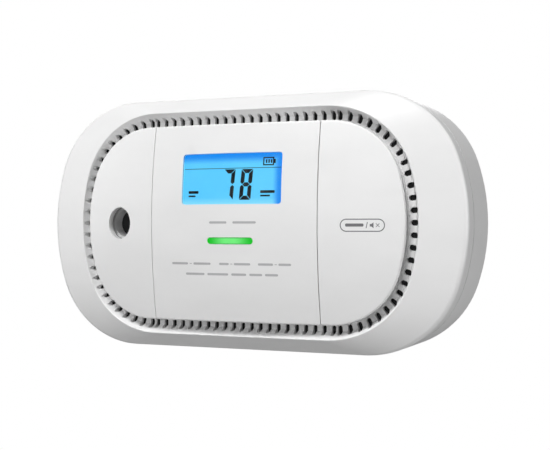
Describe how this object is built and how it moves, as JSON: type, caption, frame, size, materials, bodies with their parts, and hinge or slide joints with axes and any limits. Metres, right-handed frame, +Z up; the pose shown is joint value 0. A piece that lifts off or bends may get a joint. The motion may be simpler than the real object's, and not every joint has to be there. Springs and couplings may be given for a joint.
{
  "type": "carbon monoxide alarm",
  "caption": "Oval wall-mounted carbon monoxide alarm with domed front, vent ring, lit display, horn port, push panel, battery bay and bracket.",
  "frame": {"origin": "centre of the wall bracket's back face, which is also the middle of the alarm's length and height", "axes": "+X along the alarm's length to the viewer's right, +Y into the wall, so that the front faces -Y, +Z up"},
  "size_m": [0.1246, 0.036, 0.0696],
  "materials": {
    "case_white": "satin moulded white",
    "panel_white": "smooth satin-gloss white",
    "clear_lens": "clear polished",
    "lcd_blue": "lit blue display",
    "diffuser_white": "matt white light guide",
    "light_green": "translucent, lit green",
    "board_green": "solder mask",
    "black_plastic": "matt black",
    "black_foam": "foam",
    "mesh_dark": "woven dust mesh",
    "brass": "rolled brass",
    "sensor_steel": "nickel-plated can",
    "tinned": "tinned or nickel-plated",
    "screw_steel": "zinc-plated",
    "capacitor_can": "sleeved can",
    "copper_coil": "enamelled winding",
    "cell_wrap": "shrink sleeve",
    "label_silver": "blank label"
  },
  "bodies": {
    "housing": {"front_cover": "case_white", "back_cover": "case_white", "horn_panel": "panel_white", "display_lens": "clear_lens", "lcd_glass": "lcd_blue", "lcd_backlight": "diffuser_white", "lcd_frame": "diffuser_white", "lcd_pins": "tinned", "light_bar": "light_green", "status_leds": "diffuser_white", "circuit_board": "board_green", "board_screws": "screw_steel", "case_screws": "screw_steel", "microcontroller": "black_plastic", "capacitors": "capacitor_can", "horn_coil": "copper_coil", "co_sensor": "sensor_steel", "sensor_cap": "black_plastic", "horn_gasket": "black_foam", "horn_sleeve": "case_white", "horn_cup": "black_plastic", "piezo_disc": "brass", "test_switch": "black_plastic", "dust_mesh": "mesh_dark", "battery": "cell_wrap", "battery_plate": "tinned", "battery_spring": "tinned", "rating_label": "label_silver"},
    "test_button": {"test_button": "panel_white"},
    "switch_plunger": {"switch_plunger": "diffuser_white"},
    "battery_door": {"battery_door": "case_white"},
    "wall_bracket": {"wall_bracket": "case_white"}
  },
  "joints": [
    {"name": "test_button_press", "type": "slide", "parent": "housing", "child": "test_button", "axis": [0, 1, 0], "range_m": [0, 0.0005], "stiffness_N_per_m": 1500, "springref_m": -0.0005},
    {"name": "switch_plunger_press", "type": "slide", "parent": "housing", "child": "switch_plunger", "axis": [0, 1, 0], "range_m": [0, 0.0005]},
    {"name": "battery_door_hinge", "type": "hinge", "parent": "housing", "child": "battery_door", "pos_m": [0.038, -0.0013, -0.0216], "axis": [-1, 0, 0], "range_deg": [0, 95]},
    {"name": "wall_bracket_slide", "type": "slide", "parent": "housing", "child": "wall_bracket", "axis": [0, 0, -1], "range_m": [0, 0.0032]}
  ],
  "couplings": [
    {"joint": "switch_plunger_press", "follows": "test_button_press", "ratio": 1}
  ]
}
